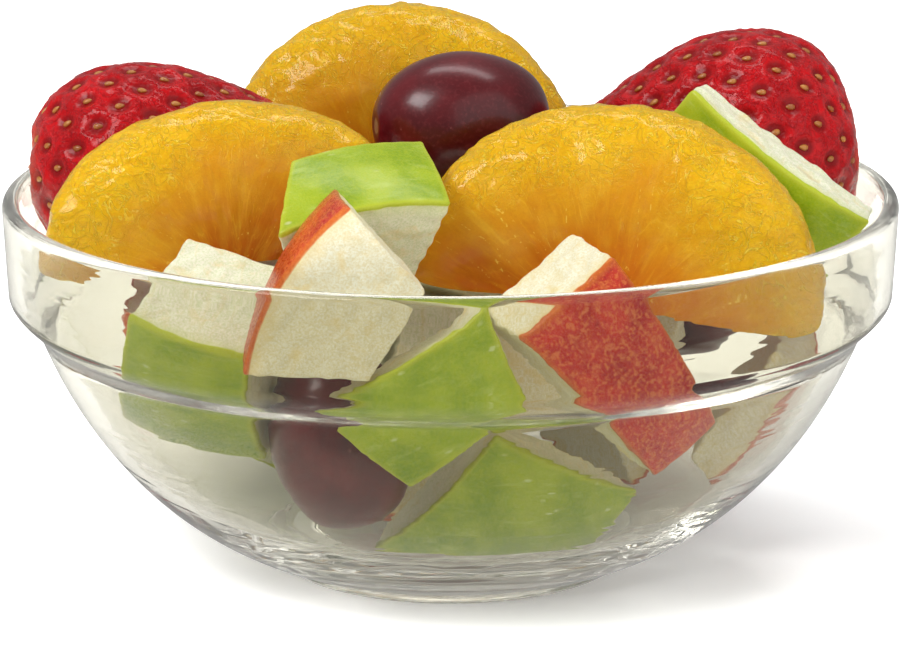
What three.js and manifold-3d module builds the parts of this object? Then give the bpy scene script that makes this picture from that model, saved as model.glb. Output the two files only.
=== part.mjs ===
// Fruit salad heaped in a small stackable glass bowl.
// Millimetres, +Z up. The origin is the middle of the foot ring, on the surface that the bowl stands on.
// Every piece of fruit is worked out in a frame of its own, from a few sizes, and then laid in the bowl:
// `at` is its middle. It is rolled by `roll` degrees about its length (+X), its far end is raised by
// `tilt`, and it is turned by `turn` about the upright.

import * as THREE from 'three';
import { mergeVertices } from 'three/addons/utils/BufferGeometryUtils.js';
import Module from 'manifold-3d';

const wasm = await Module();
wasm.setup();

// ---- driving dimensions of the bowl ----
const bowlSides = 48;
const rimRadius = 60;
const rimHeight = 51;
const bandWall = 2.4;
const bandTaper = 0.6; // the stacking band narrows by this much from rim to shoulder
const bandDraft = 0.2; // and its wall thins by this much
const bandBottom = 38;
const shoulderRadius = 55.3;
const shoulderHeight = 32.8;
const ledgeDrop = 0.4; // the ledge inside lies this much below the one outside
const bellyWall = 2.5;
const footRadius = 22.5;
const footRingWidth = 3.5;
const footRecess = 0.8;
const footFillet = [2.25, 1.6];
const floorRadius = 20;
const floorHeight = 4.6;
const floorDish = 0.4;
// Handles of the curves between those places, each a radius and a height.
const bellyPull = { outside: [[39, 6.2], [49.7, 18.5]], inside: [[48, 21.2], [38.8, 6.2]] };
const shoulderPull = { outside: [[55.5, 34.4], [59.2, 36.4]], inside: [[57, 36], [53, 34]] };

// ---- driving dimensions shared by the fruit ----
const appleRadius = 37; // the whole apples that the chunks were cut from
const chunkSteps = 3;
const segmentSteps = { around: 14, along: 16 };
const berrySteps = { around: 20, along: 16 };
const grapeSteps = { around: 14, along: 10 };
const dimpleDepth = 0.7;
const seedSize = { length: 1.8, width: 1.2, height: 0.9 };
// Powers and shares that round the fruit off: a power of 1 is a circle's arc and a lower one is blunter.
const segmentForm = { ends: 0.75, endLift: 0.28, plump: 0.65, edge: 0.9 };
const grapeEnds = 0.9;
const berryForm = { crown: 0.66, ends: 0.68, shoulder: 1.05, narrowing: 0.14 };

const finishes = {
  glass: { color: '#e6ece6', roughness: 0.04, metalness: 0, transparent: true, opacity: 0.3 },
  mandarin: { color: '#dca32a', roughness: 0.35, metalness: 0 },
  strawberry: { color: '#b71c28', roughness: 0.3, metalness: 0 },
  grape: { color: '#5c1c26', roughness: 0.18, metalness: 0 },
  greenApple: { color: '#93b63c', roughness: 0.35, metalness: 0 },
  redApple: { color: '#bf3a2c', roughness: 0.35, metalness: 0 },
};

// ---- shapes ----

// A closed skin with one pole at each end: point(run, turn) gives its place for run 0..1 from the
// first pole to the second and turn in radians round the line between them.
function closedSkin(steps, point) {
  const geometry = new THREE.SphereGeometry(1, steps.around, steps.along);
  const place = geometry.attributes.position;
  const uv = geometry.attributes.uv;
  for (let i = 0; i < place.count; i += 1) {
    place.setXYZ(i, ...point(1 - uv.getY(i), Math.PI * (1 - 2 * uv.getX(i))));
  }
  return weld(geometry);
}

function weld(geometry) {
  geometry.deleteAttribute('normal');
  geometry.deleteAttribute('uv');
  return mergeVertices(geometry, 1e-4);
}

// Half-moon of fruit: a thin inner edge below, a rounded back above, both ends drooping by `bend`.
function mandarinSegment({ length, height, thickness, bend }) {
  return closedSkin(segmentSteps, (run, turn) => {
    const sweep = Math.PI * (run - 0.5);
    const swell = Math.max(Math.cos(sweep), 0) ** segmentForm.ends;
    const rise = swell * (0.5 - 0.5 * Math.cos(turn)) - 0.5 + segmentForm.endLift * (1 - swell);
    const droop = bend * (0.5 - Math.sin(sweep) ** 2);
    const wedge = Math.sin(turn) * Math.abs(Math.sin(turn / 2)) ** segmentForm.edge;
    const side = segmentForm.plump * thickness * swell * wedge;
    return [0.5 * length * Math.sin(sweep), side, height * rise + droop];
  });
}

function grapeBody({ length, radius }) {
  return closedSkin(grapeSteps, (run, turn) => {
    const sweep = Math.PI * (run - 0.5);
    const girth = radius * Math.max(Math.cos(sweep), 0) ** grapeEnds;
    return [0.5 * length * Math.sin(sweep), girth * Math.cos(turn), girth * Math.sin(turn)];
  });
}

// Blunt end at -X, tip at +X.
function berryGirth(radius, run) {
  const arch = Math.sin(Math.PI * Math.min(Math.max(run, 0), 1) ** berryForm.crown);
  return radius * Math.max(arch, 0) ** berryForm.ends * (berryForm.shoulder - berryForm.narrowing * run);
}

// Seeds sit at every other point of the grid, each row shifted by one, and each in a dimple.
function hasSeed(column, row) {
  return row % 2 === 0 && row > 1 && row < berrySteps.along - 1 && (column + row / 2) % 2 === 0;
}

function strawberryBody({ length, radius }) {
  const columnTurn = (2 * Math.PI) / berrySteps.around;
  const body = closedSkin(berrySteps, (run, turn) => {
    const row = Math.round(run * berrySteps.along);
    const column = Math.round(turn / columnTurn) + berrySteps.around;
    const girth = berryGirth(radius, run) - (hasSeed(column, row) ? dimpleDepth : 0);
    return [length * (run - 0.5), girth * Math.cos(turn), girth * Math.sin(turn)];
  });
  const seeds = [];
  for (let row = 0; row < berrySteps.along; row += 1) {
    for (let column = 0; column < berrySteps.around; column += 1) {
      if (hasSeed(column, row)) {
        seeds.push(strawberrySeed({ length, radius }, row / berrySteps.along, column * columnTurn));
      }
    }
  }
  return join([body, ...seeds]);
}

// A small lens, half sunk in the floor of its dimple, lying along the berry.
function strawberrySeed({ length, radius }, run, turn) {
  const ahead = 0.02;
  const rise = berryGirth(radius, run + ahead) - berryGirth(radius, run - ahead);
  const slope = Math.atan2(rise, 2 * ahead * length);
  const girth = berryGirth(radius, run) - dimpleDepth;
  const seed = new THREE.OctahedronGeometry(1);
  seed.scale(seedSize.length / 2, seedSize.width / 2, seedSize.height / 2);
  seed.rotateY(-slope);
  seed.translate(length * (run - 0.5), 0, girth);
  seed.rotateX(turn - Math.PI / 2);
  return weld(seed);
}

// A block cut from an apple: `outline` is its four corners on the peel, counter-clockwise seen from
// outside, `core` the size of the inner face against the outer one, and the peel keeps the apple's curve.
function appleChunk({ outline, depth, core }) {
  const block = new THREE.BoxGeometry(2, 2, 2, chunkSteps, chunkSteps, chunkSteps);
  const place = block.attributes.position;
  const [nearLeft, nearRight, farRight, farLeft] = outline;
  const blend = (a, b, share) => a + (b - a) * share;
  for (let i = 0; i < place.count; i += 1) {
    const across = (place.getX(i) + 1) / 2;
    const back = (place.getY(i) + 1) / 2;
    const out = (place.getZ(i) + 1) / 2;
    const [x, y] = [0, 1].map((axis) =>
      blend(
        blend(nearLeft[axis], nearRight[axis], across),
        blend(farLeft[axis], farRight[axis], across),
        back,
      ),
    );
    const peel = depth / 2 + Math.sqrt(appleRadius ** 2 - x ** 2 - y ** 2) - appleRadius;
    const size = blend(core, 1, out);
    place.setXYZ(i, x * size, y * size, blend(-depth / 2, peel, out));
  }
  return weld(block);
}

// The glass: up the outside from a shallow recess under the foot, over the rounded lip and down the inside.
function glassBowl() {
  const lip = bandWall / 2;
  const lipSteps = 4;
  const ringInside = footRadius - footRingWidth;
  const outsideFoot = [footRadius + footFillet[0], footFillet[1]];
  const shoulder = [shoulderRadius, shoulderHeight];
  const shoulderInside = [shoulderRadius - bellyWall, shoulderHeight - ledgeDrop];
  const band = [rimRadius - bandTaper, bandBottom];
  const bandInside = [rimRadius - bandTaper - bandWall + bandDraft, bandBottom - ledgeDrop];
  const outline = [];
  const go = (radius, height) => outline.push(new THREE.Vector2(radius, height));
  const bend = (steps, ...corners) => {
    const points = corners.map(([radius, height]) => new THREE.Vector2(radius, height));
    outline.push(...new THREE.CubicBezierCurve(...points).getPoints(steps).slice(1));
  };
  go(0, footRecess);
  go(ringInside - footRecess, footRecess);
  go(ringInside, 0);
  go(footRadius, 0);
  go(...outsideFoot);
  bend(7, outsideFoot, ...bellyPull.outside, shoulder);
  bend(5, shoulder, ...shoulderPull.outside, band);
  for (let i = 0; i <= lipSteps; i += 1) {
    const turn = (Math.PI * i) / lipSteps;
    go(rimRadius - lip + lip * Math.cos(turn), rimHeight - lip + lip * Math.sin(turn));
  }
  go(...bandInside);
  bend(5, bandInside, ...shoulderPull.inside, shoulderInside);
  bend(6, shoulderInside, ...bellyPull.inside, [floorRadius, floorHeight]);
  go(0, floorHeight - floorDish);
  const glass = new THREE.LatheGeometry(outline, bowlSides);
  glass.rotateX(Math.PI / 2);
  return weld(glass);
}

// ---- joining ----

function toSolid(geometry) {
  return new wasm.Manifold(new wasm.Mesh({
    numProp: 3,
    vertProperties: new Float32Array(geometry.attributes.position.array),
    triVerts: new Uint32Array(geometry.index.array),
  }));
}

function join(geometries) {
  const solid = geometries.map(toSolid).reduce((whole, piece) => whole.add(piece));
  const mesh = solid.getMesh();
  const geometry = new THREE.BufferGeometry();
  geometry.setAttribute('position', new THREE.BufferAttribute(mesh.vertProperties, 3));
  geometry.setIndex(new THREE.BufferAttribute(mesh.triVerts, 1));
  return geometry;
}

// ---- the fruit, each piece by its sizes and how it lies ----

// The corners of a plain chunk's peel, a tenth narrower on its far side.
function block(width, breadth) {
  const far = 0.9 * (width / 2);
  return [[-width / 2, -breadth / 2], [width / 2, -breadth / 2], [far, breadth / 2], [-far, breadth / 2]];
}

const fruit = [
  { name: 'mandarin_left', kind: 'mandarin', length: 48, height: 22, thickness: 12, bend: 3,
    at: [-29.5, -14, 53.5], turn: 8, tilt: 4, roll: -30 },
  { name: 'mandarin_back', kind: 'mandarin', length: 48, height: 27, thickness: 13, bend: 4,
    at: [-7, 26, 56.5], turn: 0, tilt: 0, roll: -30 },
  { name: 'mandarin_right', kind: 'mandarin', length: 53, height: 27, thickness: 13, bend: 5,
    at: [22, -22, 51.5], turn: -8, tilt: -6, roll: -30 },
  { name: 'mandarin_rear', kind: 'mandarin', length: 46, height: 24, thickness: 13, bend: 5,
    at: [0, 43.5, 42.5], turn: 0, tilt: -2, roll: -57 },
  { name: 'strawberry_left', kind: 'strawberry', length: 45, radius: 14.3,
    at: [-34.9, 7, 52.5], turn: 0, tilt: 0, roll: 0 },
  { name: 'strawberry_right', kind: 'strawberry', length: 43, radius: 17.2,
    at: [34.2, 11, 53.1], turn: 180, tilt: -4, roll: 0 },
  { name: 'grape_top', kind: 'grape', length: 24, radius: 9.4,
    at: [1.5, 4, 59.5], turn: 15, tilt: 0, roll: 0 },
  { name: 'grape_front', kind: 'grape', length: 24, radius: 9.2,
    at: [-14, -29.4, 25.5], turn: -55, tilt: -70, roll: -55 },
  { name: 'grape_middle', kind: 'grape', length: 22, radius: 8.5,
    at: [-14.5, 15.5, 31], turn: -70, tilt: 0, roll: -20 },
  { name: 'grape_low', kind: 'grape', length: 22, radius: 8.5,
    at: [4.5, 16.5, 26], turn: 55, tilt: 15, roll: -20 },
  { name: 'grape_right', kind: 'grape', length: 21, radius: 8.5,
    at: [32, 26, 31], turn: 130, tilt: 10, roll: -15 },
  { name: 'grape_inner', kind: 'grape', length: 21, radius: 8.5,
    at: [18, -5.6, 44.8], turn: 20, tilt: -10, roll: -45 },
  { name: 'apple_green_top', kind: 'greenApple', depth: 15, core: 0.65,
    outline: [[-13, -7], [10, -5.5], [9.5, 8], [-8.5, 5.5]],
    at: [-11.2, -28.9, 53.7], turn: 15, tilt: 2, roll: 26 },
  { name: 'apple_red_front', kind: 'redApple', depth: 17, core: 0.52,
    outline: [[-10, -5.5], [12, -6], [14, 4.5], [-12, 6.5]],
    at: [-13.6, -45.2, 48.1], turn: 173, tilt: -59, roll: -9 },
  { name: 'apple_green_left', kind: 'greenApple', depth: 18, core: 0.8,
    outline: [[-11, -14], [9, -13.5], [7.5, 9.5], [-8, 11]],
    at: [-30.5, -28, 36.9], turn: -14, tilt: -11, roll: 126 },
  { name: 'apple_green_front', kind: 'greenApple', depth: 10, core: 0.75,
    outline: [[-8, -8], [11, -5], [13, 8], [-13.5, 7]],
    at: [-2.1, -42.1, 33.9], turn: -12, tilt: 30, roll: 104 },
  { name: 'apple_green_low', kind: 'greenApple', depth: 10, core: 0.85,
    outline: [[-16, -8.5], [12.5, -8.5], [18.5, 0], [-1.5, 10]],
    at: [6.2, -25.8, 16.8], turn: 9, tilt: -2, roll: 101 },
  { name: 'apple_red_right', kind: 'redApple', depth: 14, core: 1,
    outline: [[-15, -8], [13, -5.5], [14, 5], [-14, 7.5]],
    at: [20.8, -38, 37], turn: 34, tilt: -51, roll: 98 },
  { name: 'apple_red_middle', kind: 'redApple', depth: 9.5, core: 0.8,
    outline: block(18, 16),
    at: [14, -17.4, 31.7], turn: -8, tilt: 12, roll: -100 },
  { name: 'apple_green_slice', kind: 'greenApple', depth: 8, core: 0.95,
    outline: [[-15, -7], [14, -7], [15, 5], [-14, 5]],
    at: [40.5, -11.9, 55], turn: -14, tilt: -35, roll: 98 },
  { name: 'apple_red_side', kind: 'redApple', depth: 7.5, core: 0.9,
    outline: block(22, 21),
    at: [41.9, -1.5, 22.7], turn: 82, tilt: 3, roll: 126 },
  { name: 'apple_red_floor', kind: 'redApple', depth: 13, core: 0.8,
    outline: block(22, 19),
    at: [-2, -3, 12.5], turn: 25, tilt: -5, roll: 177 },
  { name: 'apple_red_left', kind: 'redApple', depth: 13, core: 0.8,
    outline: block(22, 18),
    at: [-36.5, 8, 27.5], turn: 85, tilt: 0, roll: -110 },
  { name: 'apple_green_rear', kind: 'greenApple', depth: 14, core: 0.8,
    outline: block(23, 18),
    at: [-13.5, 38, 26], turn: 20, tilt: -5, roll: -120 },
  { name: 'apple_red_rear', kind: 'redApple', depth: 14, core: 0.8,
    outline: block(23, 18),
    at: [14, 37, 25], turn: -20, tilt: 0, roll: -125 },
  { name: 'apple_green_middle', kind: 'greenApple', depth: 14, core: 0.8,
    outline: block(20, 17),
    at: [-0.2, -4.3, 27.6], turn: 5, tilt: -5, roll: 170 },
  { name: 'apple_green_floor', kind: 'greenApple', depth: 12, core: 0.8,
    outline: block(20, 17),
    at: [-4.5, 26, 13.5], turn: 15, tilt: 0, roll: -160 },
  { name: 'apple_red_inner', kind: 'redApple', depth: 14, core: 0.8,
    outline: block(20, 17),
    at: [21, 4, 28.5], turn: -5, tilt: -20, roll: -125 },
  { name: 'apple_green_inner', kind: 'greenApple', depth: 11, core: 0.8,
    outline: block(18, 16),
    at: [-18, -6.5, 33], turn: 15, tilt: -5, roll: -145 },
  { name: 'apple_green_rear_left', kind: 'greenApple', depth: 15, core: 0.8,
    outline: block(22, 19),
    at: [-32.5, 31.5, 37], turn: 45, tilt: -5, roll: -115 },
  { name: 'apple_red_rear_right', kind: 'redApple', depth: 9, core: 0.8,
    outline: block(20, 16),
    at: [31.5, 36, 44.3], turn: 140, tilt: -10, roll: 50 },
  { name: 'apple_green_center', kind: 'greenApple', depth: 9, core: 0.8,
    outline: block(21, 16),
    at: [-1, 3.5, 40], turn: -45, tilt: 5, roll: -25 },
  { name: 'apple_red_center', kind: 'redApple', depth: 8, core: 0.8,
    outline: block(19, 15),
    at: [-0.5, 26.5, 35.5], turn: 20, tilt: 10, roll: -45 },
  { name: 'apple_green_bed', kind: 'greenApple', depth: 14, core: 0.8,
    outline: block(22, 18),
    at: [-20.5, 17.5, 15.5], turn: 105, tilt: 15, roll: -160 },
  { name: 'apple_red_bed', kind: 'redApple', depth: 13, core: 0.8,
    outline: block(20, 18),
    at: [23.5, 18, 16.5], turn: 130, tilt: 5, roll: 145 },
];

const shapes = {
  mandarin: { form: mandarinSegment, finish: finishes.mandarin },
  strawberry: { form: strawberryBody, finish: finishes.strawberry },
  grape: { form: grapeBody, finish: finishes.grape },
  greenApple: { form: appleChunk, finish: finishes.greenApple },
  redApple: { form: appleChunk, finish: finishes.redApple },
};

function lay(mesh, { at, turn, tilt, roll }) {
  const { degToRad } = THREE.MathUtils;
  mesh.position.set(...at);
  mesh.rotation.set(degToRad(roll), -degToRad(tilt), degToRad(turn), 'ZYX');
  return mesh;
}

// ---- the salad ----

const salad = new THREE.Group();
const bowl = new THREE.Mesh(glassBowl(), new THREE.MeshStandardMaterial(finishes.glass));
bowl.name = 'bowl';
salad.add(bowl);

const contents = new THREE.Group();
for (const piece of fruit) {
  const { form, finish } = shapes[piece.kind];
  const mesh = new THREE.Mesh(form(piece), new THREE.MeshStandardMaterial(finish));
  mesh.name = piece.name;
  contents.add(lay(mesh, piece));
}
salad.add(contents);

export default salad;
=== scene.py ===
import math

import bpy
import numpy as np
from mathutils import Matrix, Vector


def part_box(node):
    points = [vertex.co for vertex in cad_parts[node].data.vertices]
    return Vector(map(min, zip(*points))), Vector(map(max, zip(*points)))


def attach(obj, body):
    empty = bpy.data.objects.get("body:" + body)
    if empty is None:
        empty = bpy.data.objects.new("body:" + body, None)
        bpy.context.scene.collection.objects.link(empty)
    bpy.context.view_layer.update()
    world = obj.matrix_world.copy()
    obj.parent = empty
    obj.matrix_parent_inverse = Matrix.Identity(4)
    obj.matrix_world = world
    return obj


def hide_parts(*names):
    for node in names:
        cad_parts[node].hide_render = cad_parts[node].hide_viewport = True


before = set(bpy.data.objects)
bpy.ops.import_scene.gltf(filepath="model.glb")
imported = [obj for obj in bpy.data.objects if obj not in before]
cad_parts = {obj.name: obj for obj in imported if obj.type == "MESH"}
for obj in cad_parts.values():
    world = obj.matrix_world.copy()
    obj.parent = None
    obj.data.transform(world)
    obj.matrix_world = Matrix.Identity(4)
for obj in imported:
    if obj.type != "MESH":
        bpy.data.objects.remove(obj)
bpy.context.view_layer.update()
mm = 0.001
print("frame: %d nodes" % len(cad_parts))

# lengths are in millimetres and angles in degrees, here and in the dictionaries of the pieces
camera = {
    "target": (0.8, 0, 32.4), "distance": 600, "elevation": 14.5, "lens": 174.8, "sensor": 36,
    "clip": (10, 50000),
}


def setCamera():
    lens = bpy.data.cameras.new("camera")
    lens.sensor_fit = "HORIZONTAL"
    lens.sensor_width = camera["sensor"]
    lens.lens = camera["lens"]
    lens.clip_start, lens.clip_end = (reach * mm for reach in camera["clip"])
    eye = bpy.data.objects.new("camera", lens)
    rise = math.radians(camera["elevation"])
    x, y, z = camera["target"]
    eye.location = (
        x * mm,
        (y - camera["distance"] * math.cos(rise)) * mm,
        (z + camera["distance"] * math.sin(rise)) * mm,
    )
    eye.rotation_euler = (math.pi / 2 - rise, 0, 0)
    bpy.context.scene.collection.objects.link(eye)
    bpy.context.scene.camera = eye


setCamera()


# A display colour, each part 0 to 255, as the linear light that a shader takes:
# (c + 0.055) / 1.055 to the power 2.4, and c / 12.92 where it is dark.
def tint(red, green, blue):
    c = np.array([red, green, blue]) / 255
    linear = np.where(c <= 0.04045, c / 12.92, ((c + 0.055) / 1.055) ** 2.4)
    return (*linear.tolist(), 1.0)


# One socket of a material's tree; its operators add Math nodes.
class Wire:
    def __init__(self, paint, socket):
        self.paint, self.socket = paint, socket

    def maths(self, operation, *values):
        return self.paint.node("Math", {"operation": operation}, dict(enumerate(values)))

    def __add__(self, other):
        return self.maths("ADD", self, other)

    def __mul__(self, other):
        return self.maths("MULTIPLY", self, other)

    def __sub__(self, other):
        return self.maths("SUBTRACT", self, other)

    def __rsub__(self, other):
        return self.maths("SUBTRACT", other, self)

    def __abs__(self):
        return self.maths("ABSOLUTE", self)

    __radd__ = __add__
    __rmul__ = __mul__

    # 0 below low, 1 above high and a smooth step between; the other way round where low is the larger
    def step(self, low, high):
        return self.paint.node("MapRange", {"interpolation_type": "SMOOTHSTEP"}, {
            "Value": self, "From Min": low, "From Max": high,
        })


# A material's tree, with the nodes that the fruit and the glass share.
class Paint:
    def __init__(self, name):
        self.material = bpy.data.materials.new(name)
        self.material.use_nodes = True
        self.tree = self.material.node_tree
        self.tree.nodes.clear()

    # a node of any type: its settings are set first, then its sockets get values or links
    def node(self, kind, settings=None, sockets=None, out=0):
        made = self.tree.nodes.new("ShaderNode" + kind)
        for key, value in (settings or {}).items():
            setattr(made, key, value)
        for key, value in (sockets or {}).items():
            if isinstance(value, Wire):
                self.tree.links.new(value.socket, made.inputs[key])
            else:
                made.inputs[key].default_value = value
        return Wire(self, made.outputs[out]) if made.outputs else None

    def stretch(self, vector, scale):
        return self.node("VectorMath", {"operation": "MULTIPLY"}, {0: vector, 1: scale})

    # a piece's own coordinates in millimetres
    def place(self):
        return self.stretch(self.node("TexCoord", out="Object"), (1 / mm, 1 / mm, 1 / mm))

    def attribute(self, name, out="Fac"):
        return self.node("Attribute", {"attribute_name": name}, out=out)

    def mix(self, share, first, second):
        return self.node("Mix", {"data_type": "RGBA"}, {0: share, 6: first, 7: second}, out=2)

    # cloudy noise of 0 to 1 whose features are about size across
    def clouds(self, where, size, detail=2.0, rough=0.5, twist=0.0):
        return self.node("TexNoise", {}, {
            "Vector": where, "Scale": 1 / size, "Detail": detail, "Roughness": rough, "Distortion": twist,
        })

    # distance from the nearest of the points strewn size apart, in shares of size
    def cells(self, where, size):
        return self.node("TexVoronoi", {}, {"Vector": where, "Scale": 1 / size}, out="Distance")

    # thin wandering lines, 1 on a line and 0 off it, where cloudy noise passes its middle
    def creases(self, where, size, width, detail=2.0, twist=1.0):
        return abs(self.clouds(where, size, detail, 0.55, twist) - 0.5).step(width, 0.0)

    # a normal for a height in millimetres
    def relief(self, height):
        return self.node("Bump", {}, {"Height": height, "Distance": mm, "Strength": 1.0})

    # the finished surface, its constants named as the shader's sockets are
    def finish(self, colour, roughness, height=None, **constants):
        sockets = {"Base Color": colour, "Roughness": roughness}
        if height is not None:
            sockets["Normal"] = self.relief(height)
        sockets.update({key.replace("_", " "): value for key, value in constants.items()})
        surface = self.node("BsdfPrincipled", {"subsurface_method": "RANDOM_WALK"}, sockets)
        self.node("OutputMaterial", {}, {"Surface": surface})
        return self.material


# Smooth noise of -1 to 1: random numbers at the corners of cubes that are size across, blended inside each
# cube by the weights f * f * (3 - 2 * f) along each axis. Large primes make a corner's number from its place.
def softNoise(points, size, seed):
    scaled = points / size
    base = np.floor(scaled).astype(np.int64)
    share = scaled - base
    share = share * share * (3 - 2 * share)
    total = np.zeros(scaled.shape[:-1])
    for corner in range(8):
        offset = np.array([(corner >> axis) & 1 for axis in range(3)])
        cell = base + offset
        key = (cell @ np.array([374761393, 668265263, 2147483647]) + seed * 974634777) & 0xFFFFFFFF
        key = ((key ^ (key >> 13)) * 1274126177) & 0xFFFFFFFF
        value = ((key ^ (key >> 16)) & 0xFFFFFF) / 0x7FFFFF - 1
        total += value * np.prod(np.where(offset, share, 1 - share), axis=-1)
    return total


# A relief is its height and the size of its bumps: height * noise.
def raised(relief, points, seed):
    height, size = relief
    return height * softNoise(points, size, seed)


# Rz(turn) * Ry(-tilt) * Rx(roll), the angles in degrees.
def turning(turn, tilt, roll):
    a, b, c = np.radians([turn, -tilt, roll])
    aboutZ = np.array([[np.cos(a), -np.sin(a), 0], [np.sin(a), np.cos(a), 0], [0, 0, 1]])
    aboutY = np.array([[np.cos(b), 0, np.sin(b)], [0, 1, 0], [-np.sin(b), 0, np.cos(b)]])
    aboutX = np.array([[1, 0, 0], [0, np.cos(c), -np.sin(c)], [0, np.sin(c), np.cos(c)]])
    return aboutZ @ aboutY @ aboutX


# Returns what turns the points of a piece's own frame and then shifts them, so that the middle of the plain
# form's box becomes the middle of its node's box.
def laid(plain, angles, node):
    turned = plain.reshape(-1, 3) @ turning(*angles).T
    low, high = (np.array(corner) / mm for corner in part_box(node))
    shift = (low + high) / 2 - (turned.min(0) + turned.max(0)) / 2
    return lambda points: points @ turning(*angles).T + shift


# Vectors made one long.
def unit(vectors):
    return vectors / np.maximum(np.linalg.norm(vectors, axis=-1, keepdims=True), 1e-9)


# Outward unit normals of a grid that closes round its columns: the cross product of its two tangents, turned
# round if it points towards the grid's middle.
def gridNormals(points):
    along = np.gradient(points, axis=0)
    around = np.roll(points, -1, axis=1) - np.roll(points, 1, axis=1)
    normal = unit(np.cross(around, along))
    return normal * np.sign((normal * (points - points.reshape(-1, 3).mean(0))).sum())


# Faces of a grid that closes round its columns; its first and last rows are one point each.
def skinFaces(rows, columns):
    column = np.arange(columns)
    after = (column + 1) % columns
    row = 1 + np.arange(rows - 3)[:, None] * columns
    corners = [row + column, row + after, row + after + columns, row + column + columns]
    last = 1 + (rows - 2) * columns
    first = np.stack([np.zeros(columns, int), 1 + after, 1 + column], -1)
    end = np.stack([np.full(columns, last), last - columns + column, last - columns + after], -1)
    return [np.stack(corners, -1).reshape(-1, 4), np.concatenate([first, end])]


# The grid's points as a list for skinFaces: each pole once, and the rows between.
def skinPoints(grid):
    return np.concatenate([grid[0, :1], grid[1:-1].reshape(-1, *grid.shape[2:]), grid[-1, :1]])


# Whether the faces point inwards: the sum of a . (b x c) over their triangles, six times the volume that they
# enclose, is then negative.
def insideOut(points, faces):
    total = 0
    for group in faces:
        for k in range(1, group.shape[1] - 1):
            a, b, c = points[group[:, 0]], points[group[:, k]], points[group[:, k + 1]]
            total += (a * np.cross(b, c)).sum()
    return total < 0


# Makes a smooth mesh of points in millimetres; faces is a list of arrays of quads or triangles.
def makePiece(name, points, faces, material, attributes):
    if insideOut(points - points.mean(0), faces):
        faces = [group[:, ::-1] for group in faces]
    mesh = bpy.data.meshes.new(name)
    mesh.vertices.add(len(points))
    mesh.vertices.foreach_set("co", (points * mm).astype(np.float32).ravel())
    corners = np.concatenate([group.ravel() for group in faces])
    sizes = np.concatenate([np.full(len(group), group.shape[1]) for group in faces])
    mesh.loops.add(len(corners))
    mesh.loops.foreach_set("vertex_index", corners.astype(np.int32))
    mesh.polygons.add(len(sizes))
    mesh.polygons.foreach_set("loop_start", np.concatenate([[0], np.cumsum(sizes)[:-1]]).astype(np.int32))
    mesh.update(calc_edges=True)
    mesh.validate()
    mesh.shade_smooth()
    for key, values in attributes.items():
        kind, field = ("FLOAT", "value") if values.ndim == 1 else ("FLOAT_VECTOR", "vector")
        mesh.attributes.new(key, kind, "POINT").data.foreach_set(field, values.astype(np.float32).ravel())
    mesh.materials.append(material)
    piece = bpy.data.objects.new(name, mesh)
    bpy.context.scene.collection.objects.link(piece)
    return piece


# A piece whose surface is a closed grid; what its material reads is given on the same grid.
def makeSkin(name, grid, material, **attributes):
    values = {key: skinPoints(value) for key, value in attributes.items()}
    return makePiece(name, skinPoints(grid), skinFaces(*grid.shape[:2]), material, values)


# A finished piece moves with the one body and hides the nodes that it takes the place of.
def hand(piece, slot, *nodes):
    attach(piece, "root")
    if nodes:
        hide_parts(*nodes)


# pairs are a radius and a height, except for waves and drawn lines: the height and the size of that relief
bowl = {
    "sides": 224, "rim": (60, 51), "wall": 2.4, "taper": 0.6, "draft": 0.2, "bandBottom": 38,
    "shoulder": (55.3, 32.8), "ledgeDrop": 0.4, "bellyWall": 2.5, "foot": 22.5, "ringWidth": 3.5,
    "recess": 0.8, "recessBend": 0.2, "fillet": (2.25, 1.6), "footBend": (1.4, 0.1), "floor": (20, 4.6),
    "dish": 0.4,
    "bellyOutside": ((39, 6.2), (49.7, 18.5)), "bellyInside": ((48, 21.2), (38.8, 6.2)),
    "shoulderOutside": ((55.5, 34.4), (59.2, 36.4)), "shoulderInside": ((57, 36), (53, 34)),
    "glass": tint(219, 217, 205), "sheen": (0.4, 0.4, 0.4, 1), "shadow": tint(228, 228, 227),
    "waves": (0.07, 9), "drawn": (0.042, 2.5),
}


# A Bezier curve through its first and last corners, the corners weighted by the powers of share and
# 1 - share. Its first point is left out.
def bend(steps, *corners):
    corners = np.array(corners, float)
    share = np.linspace(0, 1, steps + 1)[1:, None]
    degree = len(corners) - 1
    return sum(
        math.comb(degree, k) * share**k * (1 - share) ** (degree - k) * corners[k] for k in range(degree + 1)
    )


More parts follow.
